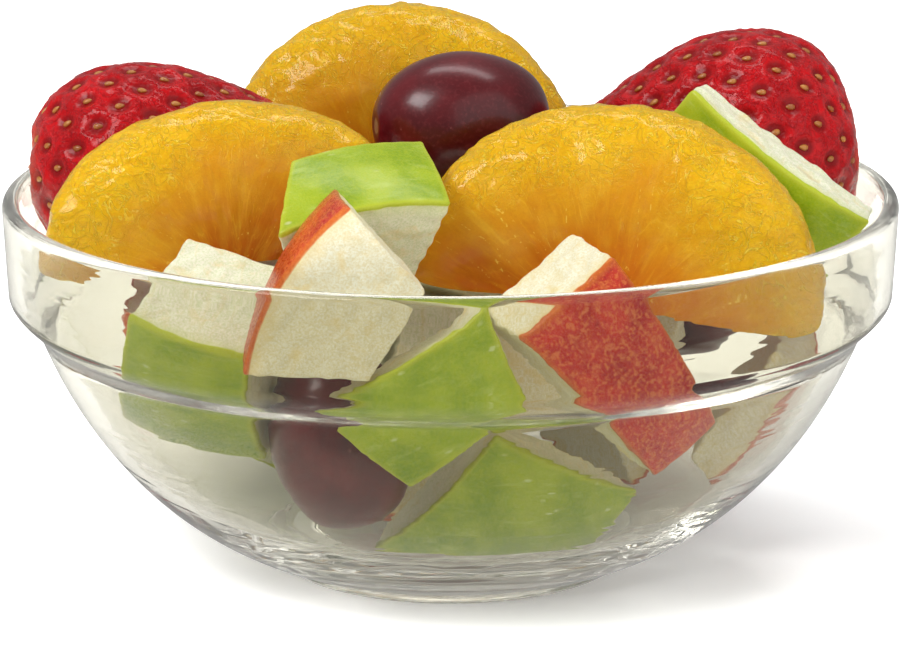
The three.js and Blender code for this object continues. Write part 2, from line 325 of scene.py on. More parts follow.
# The outline runs from under the foot up the outside, over the lip and down the inside to the middle, and is
# turned about the upright: x = radius * cos(angle), y = radius * sin(angle).
def bowlSkin():
    b = bowl
    rimRadius, rimHeight = b["rim"]
    lip = b["wall"] / 2
    inside = b["foot"] - b["ringWidth"]
    hollow = (inside - b["recess"], b["recess"])
    footEnd = (b["foot"] + b["footBend"][0], b["footBend"][1])
    footEdge = (b["foot"] + b["fillet"][0], b["fillet"][1])
    shoulder, band = b["shoulder"], (rimRadius - b["taper"], b["bandBottom"])
    shoulderIn = (shoulder[0] - b["bellyWall"], shoulder[1] - b["ledgeDrop"])
    bandIn = (band[0] - b["wall"] + b["draft"], band[1] - b["ledgeDrop"])
    lipCentre = np.array([rimRadius - lip, rimHeight - lip])
    lipTurn = np.linspace(0, np.pi, 15)[:, None]
    lipCurve = lipCentre + lip * np.concatenate([np.cos(lipTurn), np.sin(lipTurn)], 1)
    # the first number of each part is its count of steps; two corners make a straight part
    outline = np.concatenate([
        [(0, b["recess"])],
        bend(10, (0, b["recess"]), hollow),
        bend(4, hollow, (inside - b["recessBend"], b["recess"]), (inside, 0)),
        bend(3, (inside, 0), (b["foot"], 0)),
        bend(6, (b["foot"], 0), footEnd, footEdge),
        bend(30, footEdge, *b["bellyOutside"], shoulder),
        bend(10, shoulder, *b["shoulderOutside"], band),
        bend(6, band, lipCurve[0])[:-1],
        lipCurve,
        bend(6, lipCurve[-1], bandIn),
        bend(10, bandIn, *b["shoulderInside"], shoulderIn),
        bend(30, shoulderIn, *b["bellyInside"], b["floor"]),
        bend(10, b["floor"], (0, b["floor"][1] - b["dish"])),
    ])
    angle = np.arange(b["sides"]) * 2 * np.pi / b["sides"]
    radius, height = outline[:, :1], outline[:, 1:] + 0 * angle
    return np.stack([radius * np.cos(angle), radius * np.sin(angle), height], -1)


# Clear glass that casts a light, see-through shadow.
def glassPaint():
    paint = Paint("clearGlass")
    where = paint.place()
    waveHeight, waveSize = bowl["waves"]
    waves = paint.clouds(paint.stretch(where, (1, 1, 0.35)), waveSize, detail=1) * waveHeight
    drawnHeight, drawnSize = bowl["drawn"]
    drawn = paint.clouds(paint.stretch(where, (0.12, 0.12, 1)), drawnSize, detail=1, twist=0.8) * drawnHeight
    glass = paint.node("BsdfPrincipled", {}, {
        "Base Color": bowl["glass"], "Roughness": 0.0, "IOR": 1.5, "Transmission Weight": 1.0,
        "Specular Tint": bowl["sheen"], "Normal": paint.relief(waves + drawn),
    })
    through = paint.node("BsdfTransparent", {}, {"Color": bowl["shadow"]})
    shadow = paint.node("LightPath", out="Is Shadow Ray")
    mixed = paint.node("MixShader", {}, {0: shadow, 1: glass, 2: through})
    paint.node("OutputMaterial", {}, {"Surface": mixed})
    return paint.material


hand(makeSkin("glass_bowl", bowlSkin(), glassPaint()), "glass", "bowl")
print("bowl done")

# paler is the end that is yellower: -1 the left one, 1 the right one, 0 neither
mandarins = {
    "mandarin_left": {
        "length": 48, "height": 22, "thickness": 12, "bend": 3,
        "angles": (8, 4, -30), "paler": -1, "seed": 1,
    },
    "mandarin_back": {
        "length": 48, "height": 27, "thickness": 13, "bend": 4,
        "angles": (0, 0, -30), "paler": 1, "seed": 2,
    },
    "mandarin_right": {
        "length": 53, "height": 27, "thickness": 13, "bend": 5,
        "angles": (-8, -6, -30), "paler": 1, "seed": 3,
    },
    "mandarin_rear": {
        "length": 46, "height": 24, "thickness": 13, "bend": 5,
        "angles": (0, -2, -57), "paler": 0, "seed": 4,
    },
}
segment = {
    "rows": 170, "columns": 150, "ends": 0.75, "endLift": 0.28, "plump": 0.65, "edge": 0.9, "hub": 0.62,
    # the height and size of each relief; wander is how far the curls stray
    "lumps": (0.3, 7.5), "folds": (0.26, 2.6), "sacs": (0.14, 1.9), "curls": (0.34, 1.9), "fine": (0.02, 0.7),
    "wander": (0.8, 1.6),
    "deep": tint(204, 98, 20), "plain": tint(218, 144, 24), "pale": tint(236, 185, 20),
    "paleStrands": tint(246, 184, 34), "deepStrands": tint(200, 100, 8), "sacWalls": tint(248, 200, 60),
    # painted light: the fold tops and curl tops colours are painted highlights, the wisps colour is painted
    # shade
    "foldHighlights": tint(252, 214, 40), "shadeWisps": tint(230, 150, 8), "curlHighlights": tint(255, 230, 80),
    # the beads colour is painted glints
    "glintBeads": tint(255, 226, 96), "grain": tint(180, 92, 8),
}


# A half-moon. Along x it is length / 2 * sin(sweep). It swells by cos(sweep) to a power, and rises from its
# inner edge to its back by half a cosine of turn. Its sides are sin(turn) * |sin(turn / 2)| to a power, and
# both ends droop.
def segmentSkin(size):
    sweep = np.pi * (np.linspace(0, 1, segment["rows"])[:, None] - 0.5)
    turn = np.linspace(0, 2 * np.pi, segment["columns"], endpoint=False)[None, :]
    swell = np.maximum(np.cos(sweep), 0) ** segment["ends"]
    rise = swell * (0.5 - 0.5 * np.cos(turn)) - 0.5 + segment["endLift"] * (1 - swell)
    droop = size["bend"] * (0.5 - np.sin(sweep) ** 2)
    wedge = np.sin(turn) * np.abs(np.sin(turn / 2)) ** segment["edge"]
    side = segment["plump"] * size["thickness"] * swell * wedge
    x = 0.5 * size["length"] * np.sin(sweep) + 0 * turn
    return np.stack([x, side, size["height"] * rise + droop], -1), sweep, turn, swell


# The juice sacs fan out from a hub below the inner edge, so the relief is noise drawn out along the rays from
# there, with lumps and curled wrinkles towards the back. It goes outwards and fades at the two poles.
def makeMandarin(node, size, material):
    grid, sweep, turn, swell = segmentSkin(size)
    out = 0.5 - 0.5 * np.cos(turn)  # 0 at the inner edge, 1 at the back
    up = grid[..., 2] + segment["hub"] * size["height"]
    ray, reach = np.arctan2(grid[..., 0], up), np.hypot(grid[..., 0], up)
    fan = np.stack([0.5 * size["length"] * ray, reach, grid[..., 1]], -1)
    # 1 where the skin is yellow and wrinkled: at the back, at both ends and further in at the paler end
    palerEnd = np.clip(size["paler"] * np.sin(sweep) - 0.1, 0, 1)
    rim = np.clip(1.15 * out * (0.35 + 0.65 * swell) + 0.6 * (1 - swell) + 0.75 * palerEnd, 0, 1)
    seed = 10 * size["seed"]
    curlHeight, curlSize = segment["curls"]
    bent = grid + np.stack([raised(segment["wander"], grid, seed + k) for k in (5, 6, 7)], -1)
    relief = raised(segment["lumps"], grid, seed)
    relief += rim * raised(segment["folds"], grid, seed + 1)
    relief += raised(segment["sacs"], fan * (1, 0.14, 0.6), seed + 2)
    relief += curlHeight * rim**2 * (0.35 - np.abs(softNoise(bent, curlSize, seed + 3)))
    relief += raised(segment["fine"], fan * (1, 0.3, 1), seed + 4)
    relief *= np.clip(swell / 0.25, 0, 1) * np.clip(out / 0.04, 0.25, 1)
    place = laid(grid, size["angles"], node)
    skin = place(grid + gridNormals(grid) * relief[..., None])
    hand(makeSkin(node + "_flesh", skin, material, fan=fan, rim=rim), "mandarin", node)


# Deep orange turns to yellow towards the back and the ends, with paler strands and sac walls throughout.
# Where it is yellow, the tops of the folds and curled wrinkles are lightened as painted highlights, the wisps
# are darkened as painted shade, and bright beads along thin strings are painted glints.
def mandarinPaint():
    paint, look = Paint("mandarinFlesh"), segment
    where = paint.place()
    fan, rim = paint.attribute("fan", "Vector"), paint.attribute("rim")
    patches = paint.clouds(where, 9, detail=3, rough=0.6)
    warmth = rim * 0.85 + (patches - 0.5) * 0.7 + 0.04
    colour = paint.mix(warmth.step(0, 0.45), look["deep"], look["plain"])
    colour = paint.mix(warmth.step(0.3, 0.95), colour, look["pale"])
    strands = paint.clouds(paint.stretch(fan, (1, 0.2, 1)), 1.2, detail=3, rough=0.6, twist=1)
    colour = paint.mix(strands.step(0.5, 0.75) * 0.25, colour, look["paleStrands"])
    colour = paint.mix(strands.step(0.46, 0.28) * 0.2, colour, look["deepStrands"])
    sacs = paint.cells(paint.stretch(fan, (1, 0.3, 1)), 3.6)
    walls = paint.creases(paint.stretch(fan, (1, 0.16, 1)), 4.5, 0.016, twist=0.8)
    edges = (sacs.step(0.45, 0.8) * 0.2 + walls * 0.25) * patches.step(0.35, 0.6)
    colour = paint.mix(edges, colour, look["sacWalls"])
    nearRim = warmth.step(0.45, 0.85)
    folds = paint.clouds(where, 1.3, twist=1.8)
    # painted highlight: the tops of the folds near the back are lightened
    colour = paint.mix(folds.step(0.5, 0.75) * nearRim * 0.4, colour, look["foldHighlights"])
    # painted shade: darker lines along the wrinkles where the skin is yellow
    shadeWisps = paint.creases(paint.stretch(where, (1, 1, 1.3)), 2.2, 0.03, detail=1, twist=2.4)
    shadeWisps = shadeWisps * warmth.step(0.2, 0.7)
    colour = paint.mix(shadeWisps * 0.15, colour, look["shadeWisps"])
    curls = paint.creases(where, 3, 0.03, detail=1, twist=2.8) * nearRim
    # painted highlight: the curled wrinkles near the back are lightened
    colour = paint.mix(curls * 0.65, colour, look["curlHighlights"])
    strings = paint.creases(paint.stretch(fan, (1, 0.14, 1)), 8, 0.008, detail=1, twist=0.8)
    # painted glints: bright beads along thin strings
    glintBeads = strings * paint.clouds(where, 0.5, detail=1).step(0.57, 0.64)
    colour = paint.mix(glintBeads * 0.6, colour, look["glintBeads"])
    grain = paint.clouds(where, 0.3, rough=0.7)
    colour = paint.mix(grain.step(0.6, 0.35) * 0.1, colour, look["grain"])
    height = strands * 0.05 - sacs * 0.1 + curls * 0.16 + shadeWisps * 0.03
    height = height + folds * nearRim * 0.12 + grain * 0.015
    roughness = 0.3 - nearRim * 0.12 + (patches - 0.5) * 0.12
    return paint.finish(
        colour, roughness, height, Subsurface_Weight=0.3, Subsurface_Scale=0.003,
        Subsurface_Radius=(1.0, 0.5, 0.15), Specular_IOR_Level=0.4, Specular_Tint=(1, 0.85, 0.45, 1),
        Coat_Weight=0.2, Coat_Roughness=0.05, IOR=1.38,
    )


mandarinFlesh = mandarinPaint()
for node, size in mandarins.items():
    makeMandarin(node, size, mandarinFlesh)
print("mandarins done")

strawberries = {
    "strawberry_left": {"length": 45, "radius": 14.3, "angles": (0, 0, 0), "seed": 5, "spin": 0.4},
    "strawberry_right": {"length": 43, "radius": 17.2, "angles": (180, -4, 0), "seed": 6, "spin": 1.1},
}
berry = {
    "rows": 300, "columns": 300, "crowding": 0.6, "crown": 0.66, "ends": 0.68, "shoulder": 1.05,
    "narrowing": 0.14, "spacing": 4.8, "pitDepth": 0.65, "pitLength": 1.75, "pitWidth": 1.45,
    "scarRadius": 5.5, "scarDepth": 1.2, "scarEnd": 0.12, "scarStretch": 40,
    # the height and size of each relief
    "lumps": (0.4, 9), "swells": (0.1, 2.2), "wrinkles": (0.1, 0.8), "scarLumps": (0.25, 1.1),
    # the pit colour is painted shade in the pits
    "dark": tint(172, 8, 16), "bright": tint(204, 16, 24), "pitShade": tint(140, 4, 10),
    # the wrinkle tops colour is a painted sheen
    "wrinkleSheen": tint(214, 60, 74), "scar": tint(236, 190, 150), "scarEdge": tint(230, 120, 90),
}
berrySeed = {
    "length": 1.35, "width": 0.85, "height": 0.6, "sunk": 0.06, "taper": 0.25, "sway": (0.35, 2),
    "around": 8, "along": 6, "dark": tint(158, 84, 26), "pale": tint(196, 130, 56),
}


# The girth at run, 0 at the blunt end and 1 at the tip: an arch sin(pi * run ** crown) ** ends that narrows
# towards the tip.
def berryGirth(radius, run):
    arch = np.maximum(np.sin(np.pi * np.clip(run, 0, 1) ** berry["crown"]), 0)
    return radius * arch ** berry["ends"] * (berry["shoulder"] - berry["narrowing"] * run)


# The girth is turned about x: y = girth * cos(turn), z = girth * sin(turn).
def berrySkin(size, run, turn):
    girth = berryGirth(size["radius"], run)
    x = size["length"] * (run - 0.5) + 0 * turn
    return np.stack([x, girth * np.cos(turn), girth * np.sin(turn)], -1)


# Seeds follow the golden angle: each is 137.5 degrees on from the last, and equal areas of skin lie between
# them. Returns their runs and turns.
def seedPlaces(size):
    run = np.linspace(0, 1, 2001)
    girth = berryGirth(size["radius"], run)
    strip = 2 * np.pi * girth * np.hypot(np.gradient(size["length"] * run), np.gradient(girth))
    area = np.cumsum(strip)
    hexagon = 0.866 * berry["spacing"] ** 2  # the skin round each seed
    count = int(area[-1] / hexagon)
    share = (np.arange(count) + 0.5) / count
    runs = np.interp(share, area / area[-1], run)
    turns = (np.arange(count) * math.pi * (3 - math.sqrt(5)) + size["spin"]) % (2 * math.pi)
    keep = (share > 0.03) & (share < 0.995)  # none in the scar or at the very tip
    return runs[keep], turns[keep]


# 1 at a seed and 0 away from it: exp(-distance ** 3), the distance counted in pit lengths and widths.
def berryPits(grid, seeds):
    near = np.full(grid.shape[:2], np.inf)
    for seed in seeds:
        gap = grid - seed
        ahead = gap[..., 0] ** 2
        around = (gap[..., 1:] ** 2).sum(-1)
        near = np.minimum(near, ahead / berry["pitLength"] ** 2 + around / berry["pitWidth"] ** 2)
    return np.exp(-(near**1.5))


# The skin goes outwards by its reliefs and inwards by its pits and by the scar where the leaves were.
def makeStrawberry(node, size, skinPaint, seedPaint):
    # rows closer together near the poles, so that the faces stay even
    spread = np.linspace(0, 1, berry["rows"])[:, None]
    crowding = berry["crowding"]
    run = (0.5 - 0.5 * np.cos(np.pi * spread)) * crowding + spread * (1 - crowding)
    turn = np.linspace(0, 2 * np.pi, berry["columns"], endpoint=False)[None, :]
    grid = berrySkin(size, run, turn)
    seedRun, seedTurn = seedPlaces(size)
    pit = berryPits(grid, berrySkin(size, seedRun, seedTurn))
    fromAxis = np.hypot(grid[..., 1], grid[..., 2])
    crown = fromAxis + berry["scarStretch"] * np.clip(run - berry["scarEnd"], 0, 1)
    scar = np.clip(1 - crown / berry["scarRadius"], 0, 1)
    noiseSeed = 10 * size["seed"]
    relief = raised(berry["lumps"], grid, noiseSeed) - berry["pitDepth"] * pit
    relief += raised(berry["wrinkles"], grid, noiseSeed + 1) * (1 - pit)
    relief += raised(berry["swells"], grid, noiseSeed + 2) * (1 - pit)
    relief -= berry["scarDepth"] * scar**0.7 + scar * raised(berry["scarLumps"], grid, noiseSeed + 3)
    relief *= np.clip(fromAxis / 0.6, 0, 1)
    place = laid(grid, size["angles"], node)
    skin = place(grid + gridNormals(grid) * relief[..., None])
    hand(makeSkin(node + "_skin", skin, skinPaint, pit=pit, crown=crown), "strawberry", node)
    points, faces = seedMesh(size, seedRun, seedTurn, noiseSeed)
    hand(makePiece(node + "_seeds", place(points), faces, seedPaint, {}), "strawberry")


# A seed is an ellipsoid narrowed towards one end: x = length / 2 * cos(a), the rest sin(a) * (1 - taper *
# cos(a)). It lies in the tangent plane at the floor of its pit, a little askew. All the seeds are one mesh.
def seedMesh(size, run, turn, noiseSeed):
    around, along = berrySeed["around"], berrySeed["along"]
    a = np.linspace(0, np.pi, along + 1)[:, None]
    b = np.linspace(0, 2 * np.pi, around, endpoint=False)[None, :]
    narrow = np.sin(a) * (1 - berrySeed["taper"] * np.cos(a))
    one = skinPoints(0.5 * np.stack([
        berrySeed["length"] * np.cos(a) + 0 * b,
        berrySeed["width"] * narrow * np.cos(b),
        berrySeed["height"] * narrow * np.sin(b),
    ], -1))
    step = 1e-3
    at = berrySkin(size, run, turn)
    ahead = unit(berrySkin(size, run + step, turn) - berrySkin(size, run - step, turn))
    across = unit(berrySkin(size, run, turn + step) - berrySkin(size, run, turn - step))
    up = np.cross(ahead, across)
    up *= np.sign((up * (at * (0, 1, 1))).sum(-1, keepdims=True))
    sway = raised(berrySeed["sway"], at, noiseSeed + 7)[:, None]
    length = ahead * np.cos(sway) + across * np.sin(sway)
    width = across * np.cos(sway) - ahead * np.sin(sway)
    depth = berry["pitDepth"] - raised(berry["lumps"], at, noiseSeed)[:, None] - berrySeed["sunk"]
    centre = (at - up * depth)[:, None]
    points = centre + one[:, :1] * length[:, None] + one[:, 1:2] * width[:, None] + one[:, 2:] * up[:, None]
    shift = (np.arange(len(run)) * len(one))[:, None, None]
    faces = [(group + shift).reshape(-1, group.shape[1]) for group in skinFaces(along + 1, around)]
    return points.reshape(-1, 3), faces


# Two reds in patches, darker red in the pits as painted shade, a pale pink painted sheen on the wrinkles
# between the pits, and a cream scar.
def strawberryPaint():
    paint, look = Paint("strawberrySkin"), berry
    where = paint.place()
    pit, crown = paint.attribute("pit"), paint.attribute("crown")
    patches = paint.clouds(where, 5, detail=3)
    fine = paint.clouds(where, 0.6, detail=3, rough=0.6)
    colour = paint.mix(patches.step(0.3, 0.7), look["dark"], look["bright"])
    # painted shade: darker red in the pits
    colour = paint.mix(pit.step(0.2, 0.8), colour, look["pitShade"])
    wrinkles = paint.creases(where, 1.6, 0.05, detail=3, twist=1.6) * pit.step(0.4, 0.1)
    # painted sheen: pale pink on the wrinkles between the pits
    colour = paint.mix(wrinkles * fine.step(0.45, 0.6) * 0.4, colour, look["wrinkleSheen"])
    colour = paint.mix(crown.step(look["scarRadius"], 3.2) * 0.85, colour, look["scar"])
    colour = paint.mix(crown.step(9, 4.5) * 0.35, colour, look["scarEdge"])
    height = fine * 0.1 + wrinkles * 0.12 + paint.clouds(where, 1.5, twist=1) * 0.3
    roughness = 0.22 + (fine - 0.5) * 0.2 + pit * 0.14
    return paint.finish(
        colour, roughness, height, Specular_IOR_Level=0.2, Coat_Weight=0.16, Coat_Roughness=0.04, IOR=1.42,
    )


# Two browns in patches.
def berrySeedPaint():
    paint = Paint("strawberrySeed")
    where = paint.place()
    patches = paint.clouds(where, 2.2, detail=1).step(0.35, 0.65)
    colour = paint.mix(patches, berrySeed["dark"], berrySeed["pale"])
    height = paint.clouds(where, 0.3, detail=1) * 0.02
    return paint.finish(colour, 0.35, height, Coat_Weight=0.3, Coat_Roughness=0.15)


strawberrySkin, strawberrySeed = strawberryPaint(), berrySeedPaint()
for node, size in strawberries.items():
    makeStrawberry(node, size, strawberrySkin, strawberrySeed)
print("strawberries done")

grapes = {
    "grape_top": {"length": 24, "radius": 9.4, "angles": (15, 0, 0)},
    "grape_front": {"length": 24, "radius": 9.2, "angles": (-55, -70, -55)},
    "grape_middle": {"length": 22, "radius": 8.5, "angles": (-70, 0, -20)},
    "grape_low": {"length": 22, "radius": 8.5, "angles": (55, 15, -20)},
    "grape_right": {"length": 21, "radius": 8.5, "angles": (130, 10, -15)},
    "grape_inner": {"length": 21, "radius": 8.5, "angles": (20, -10, -45)},
}
grape = {
    "rows": 90, "columns": 96, "ends": 0.9, "scarRadius": 1.3, "scarDepth": 0.45, "scarStretch": 20,
    "lumps": (0.18, 6), "seed": 3,  # lumps is a height and a size
    "dark": tint(78, 8, 16), "bright": tint(108, 20, 28), "bloom": tint(132, 54, 58),
    "dots": tint(150, 84, 80), "scar": tint(150, 110, 70),
}


# x = length / 2 * sin(sweep) and the girth is cos(sweep) ** ends. The stem end has a small round scar, sunk
# by exp(-distance ** 2).
def makeGrape(node, size, material):
    sweep = np.pi * (np.linspace(0, 1, grape["rows"])[:, None] - 0.5)
    turn = np.linspace(0, 2 * np.pi, grape["columns"], endpoint=False)[None, :]
    girth = size["radius"] * np.maximum(np.cos(sweep), 0) ** grape["ends"]
    x = 0.5 * size["length"] * np.sin(sweep) + 0 * turn
    grid = np.stack([x, girth * np.cos(turn), girth * np.sin(turn)], -1)
    fromStem = np.hypot(girth + 0 * turn, grape["scarStretch"] * (np.sin(sweep) + 1))
    scar = np.exp(-((fromStem / grape["scarRadius"]) ** 2))
    relief = raised(grape["lumps"], grid, grape["seed"]) - grape["scarDepth"] * scar
    relief *= np.clip(girth / 0.5, 0, 1)
    skin = laid(grid, size["angles"], node)(grid + gridNormals(grid) * relief[..., None])
    hand(makeSkin(node + "_skin", skin, material, scar=scar), "grape", node)


# Two dark reds under a pale bloom, with a few dots and a woody scar.
def grapePaint():
    paint, look = Paint("grapeSkin"), grape
    where = paint.place()
    scar = paint.attribute("scar")
    bloom = paint.clouds(where, 7, detail=3)
    fine = paint.clouds(where, 0.5)
    colour = paint.mix(bloom.step(0.3, 0.75), look["dark"], look["bright"])
    colour = paint.mix(fine.step(0.45, 0.8) * 0.3, colour, look["bloom"])
    colour = paint.mix(paint.cells(where, 2.6).step(0.09, 0.05) * 0.5, colour, look["dots"])
    colour = paint.mix(scar.step(0.35, 0.7), colour, look["scar"])
    roughness = 0.24 + bloom * 0.12 + scar * 0.3
    return paint.finish(
        colour, roughness, fine * 0.012,
        Specular_IOR_Level=0.4, Coat_Weight=0.2, Coat_Roughness=0.14, IOR=1.45,
    )


grapeSkin = grapePaint()
for node, size in grapes.items():
    makeGrape(node, size, grapeSkin)
print("grapes done")


# The corners of a plain chunk's peel, a tenth narrower on its far side.
def block(width, breadth):
    near, far, side = width / 2, 0.45 * width, breadth / 2
    return ((-near, -side), (near, -side), (far, side), (-far, side))


# the outline is that of the peel, the depth goes in towards the core, and core is the share of the outline
# that is left there
apples = {
    "apple_green_top": {
        "depth": 15, "core": 0.65, "angles": (15, 2, 26), "steps": 44,
        "outline": ((-13, -7), (10, -5.5), (9.5, 8), (-8.5, 5.5)),
    },
    "apple_red_front": {
        "depth": 17, "core": 0.52, "angles": (173, -59, -9), "steps": 44,
        "outline": ((-10, -5.5), (12, -6), (14, 4.5), (-12, 6.5)),
    },
    "apple_green_left": {
        "depth": 18, "angles": (-14, -11, 126), "steps": 44,
        "outline": ((-11, -14), (9, -13.5), (7.5, 9.5), (-8, 11)),
    },
    "apple_green_front": {
        "depth": 10, "core": 0.75, "angles": (-12, 30, 104), "steps": 44,
        "outline": ((-8, -8), (11, -5), (13, 8), (-13.5, 7)),
    },
    "apple_green_low": {
        "depth": 10, "core": 0.85, "angles": (9, -2, 101), "steps": 44,
        "outline": ((-16, -8.5), (12.5, -8.5), (18.5, 0), (-1.5, 10)),
    },
    "apple_red_right": {
        "depth": 14, "core": 1, "angles": (34, -51, 98), "steps": 44,
        "outline": ((-15, -8), (13, -5.5), (14, 5), (-14, 7.5)),
    },
    "apple_red_middle": {"depth": 9.5, "outline": block(18, 16), "angles": (-8, 12, -100)},
    "apple_green_slice": {
        "depth": 8, "core": 0.95, "angles": (-14, -35, 98), "steps": 44,
        "outline": ((-15, -7), (14, -7), (15, 5), (-14, 5)),
    },
    "apple_red_side": {"depth": 7.5, "core": 0.9, "outline": block(22, 21), "angles": (82, 3, 126)},
    "apple_red_floor": {"depth": 13, "outline": block(22, 19), "angles": (25, -5, 177)},
    "apple_red_left": {"depth": 13, "outline": block(22, 18), "angles": (85, 0, -110)},
    "apple_green_rear": {"depth": 14, "outline": block(23, 18), "angles": (20, -5, -120)},
    "apple_red_rear": {"depth": 14, "outline": block(23, 18), "angles": (-20, 0, -125)},
    "apple_green_middle": {"depth": 14, "outline": block(20, 17), "angles": (5, -5, 170)},
    "apple_green_floor": {"depth": 12, "outline": block(20, 17), "angles": (15, 0, -160)},
    "apple_red_inner": {"depth": 14, "outline": block(20, 17), "angles": (-5, -20, -125)},
    "apple_green_inner": {"depth": 11, "outline": block(18, 16), "angles": (15, -5, -145)},
    "apple_green_rear_left": {"depth": 15, "outline": block(22, 19), "angles": (45, -5, -115)},
    "apple_red_rear_right": {"depth": 9, "outline": block(20, 16), "angles": (140, -10, 50)},
    "apple_green_center": {"depth": 9, "outline": block(21, 16), "angles": (-45, 5, -25)},
    "apple_red_center": {"depth": 8, "outline": block(19, 15), "angles": (20, 10, -45)},
    "apple_green_bed": {"depth": 14, "outline": block(22, 18), "angles": (105, 15, -160)},
    "apple_red_bed": {"depth": 13, "outline": block(20, 18), "angles": (130, 5, 145)},
}
chunk = {
    "appleRadius": 37, "core": 0.8, "steps": 30, "edgeSteps": 4, "edge": 0.5, "seed": 100,
    # the height and size of each relief, the depth from which a cut is fully uneven, the ragged edge's width
    "uneven": (0.175, 6), "ragged": (0.196, 1.3), "peelDepth": 0.8, "raggedWidth": 0.5,
    "fleshGrain": tint(253, 250, 228), "fibres": tint(238, 220, 158), "stains": tint(240, 212, 132),
}
greenLook = {
    "flesh": tint(226, 230, 190), "nearPeel": tint(218, 226, 150), "peelEdge": tint(204, 214, 84),
    "dark": tint(132, 164, 24), "bright": tint(170, 192, 46), "grain": tint(192, 200, 44),
    # the green peel's streaks colour is a painted sheen
    "streaks": tint(198, 216, 116), "dashes": tint(226, 232, 176), "border": tint(198, 206, 60),
}
redLook = {
    "flesh": tint(238, 227, 184), "nearPeel": tint(242, 214, 140), "peelEdge": tint(224, 150, 84),
    "dark": tint(178, 24, 24), "bright": tint(212, 58, 40), "streaks": tint(220, 124, 56),
    "mottle": tint(228, 126, 62), "blotches": tint(140, 14, 20), "border": tint(216, 126, 50),
}


# The points on the surface of a lattice of steps cells each way, and its faces. The three numbers of a point
# are its column, row and layer.
def latticeShell(steps):
    size = steps + 1
    index = np.stack(np.meshgrid(*[np.arange(size)] * 3, indexing="ij"), -1)
    onShell = ((index == 0) | (index == steps)).any(-1)
    number = np.cumsum(onShell).reshape(size, size, size) - 1
    faces = []
    for axis in range(3):
        for end in (0, steps):
            sheet = np.take(number, end, axis=axis)
            corners = [sheet[:-1, :-1], sheet[1:, :-1], sheet[1:, 1:], sheet[:-1, 1:]]
            quads = np.stack(corners, -1).reshape(-1, 4)
            faces.append(quads if (end > 0) == (axis != 1) else quads[:, ::-1])
    return index[onShell], [np.concatenate(faces)]


# How far along a side each line of the lattice lies: a few are close together inside each rounded edge, and
# the rest are even between them.
def latticeLines(span, steps):
    edge, few = chunk["edge"], chunk["edgeSteps"]
    edgeLines = np.linspace(0, edge, few + 1)
    between = np.linspace(edge, span - edge, steps - 2 * few + 1)[1:-1]
    return np.concatenate([edgeLines, between, span - edgeLines[::-1]])


# A rounded box comes first: each point is clamped to a box that is smaller by the edge radius, and set
# outwards from there by that radius. Its corners are then blended to those of the peel's outline and drawn in
# towards the core, and its top follows the apple: z = half + sqrt(radius ** 2 - x ** 2 - y ** 2) - radius.
# Also returns the ways outwards, each point's depth below the peel and its distance from the peel's border.
def chunkSkin(size, rounded=True):
    outline = np.array(size["outline"], float)
    steps, core = size.get("steps", chunk["steps"]), size.get("core", chunk["core"])
    index, faces = latticeShell(steps)
    spans = np.array([np.ptp(outline[:, 0]), np.ptp(outline[:, 1]), size["depth"]])
    box = np.stack([latticeLines(spans[axis], steps)[index[:, axis]] for axis in range(3)], -1) - spans / 2
    inner = np.clip(box, chunk["edge"] - spans / 2, spans / 2 - chunk["edge"])
    outwards = unit(box - inner)
    if rounded:
        box = inner + outwards * chunk["edge"]
    share = box / spans + 0.5
    a, b, c = share[:, :1], share[:, 1:2], share[:, 2:]
    near = (1 - a) * outline[0] + a * outline[1]
    far = (1 - a) * outline[3] + a * outline[2]
    flat = (1 - b) * near + b * far
    half, radius = size["depth"] / 2, chunk["appleRadius"]
    peel = half + np.sqrt(radius**2 - (flat**2).sum(-1)) - radius
    z = c[:, 0] * (peel + half) - half
    points = np.concatenate([flat * (core + (1 - core) * c), z[:, None]], -1)
    below = (1 - share[:, 2]) * (peel + half)
    border = (np.minimum(share, 1 - share) * spans)[:, :2].min(-1)
    return points, faces, outwards, below, border


# Cut faces are a little uneven and their edges ragged; the peel keeps the apple's curve.
def makeApple(node, size, material, slot, seed):
    plain = chunkSkin(size, rounded=False)[0]
    points, faces, outwards, below, border = chunkSkin(size)
    cut = np.clip(below / chunk["peelDepth"], 0, 1)
    nearEdge = np.exp(-border / chunk["raggedWidth"]) * cut + 0.3
    relief = raised(chunk["uneven"], points, seed) * (0.35 + 0.65 * cut)
    relief += raised(chunk["ragged"], points, seed + 1) * nearEdge
    skin = laid(plain, size["angles"], node)(points + outwards * relief[:, None])
    own = points + seed * 5  # so that no two chunks are marked alike
    values = {"below": below, "border": border, "own": own}
    hand(makePiece(node + "_chunk", skin, faces, material, values), slot, node)


# What lies under any peel: cream flesh with a fine grain and ochre stains, tinted near the peel.
def fleshColour(paint, own, below, look):
    grain = paint.clouds(own, 0.3, detail=3, rough=0.75)
    stains = paint.clouds(own, 3.4, detail=3, rough=0.55, twist=0.6)
    fibres = paint.clouds(paint.stretch(own, (1, 1, 0.3)), 1.1, rough=0.6, twist=0.5)
    colour = paint.mix(grain.step(0.35, 0.65), look["flesh"], chunk["fleshGrain"])
    colour = paint.mix(fibres.step(0.5, 0.75) * 0.35, colour, chunk["fibres"])
    colour = paint.mix(stains.step(0.52, 0.74) * 0.5, colour, chunk["stains"])
    colour = paint.mix((below + stains * 2).step(4, 0.7) * 0.6, colour, look["nearPeel"])
    return paint.mix((below + (stains - 0.5) * 0.3).step(0.7, 0.5), colour, look["peelEdge"]), grain


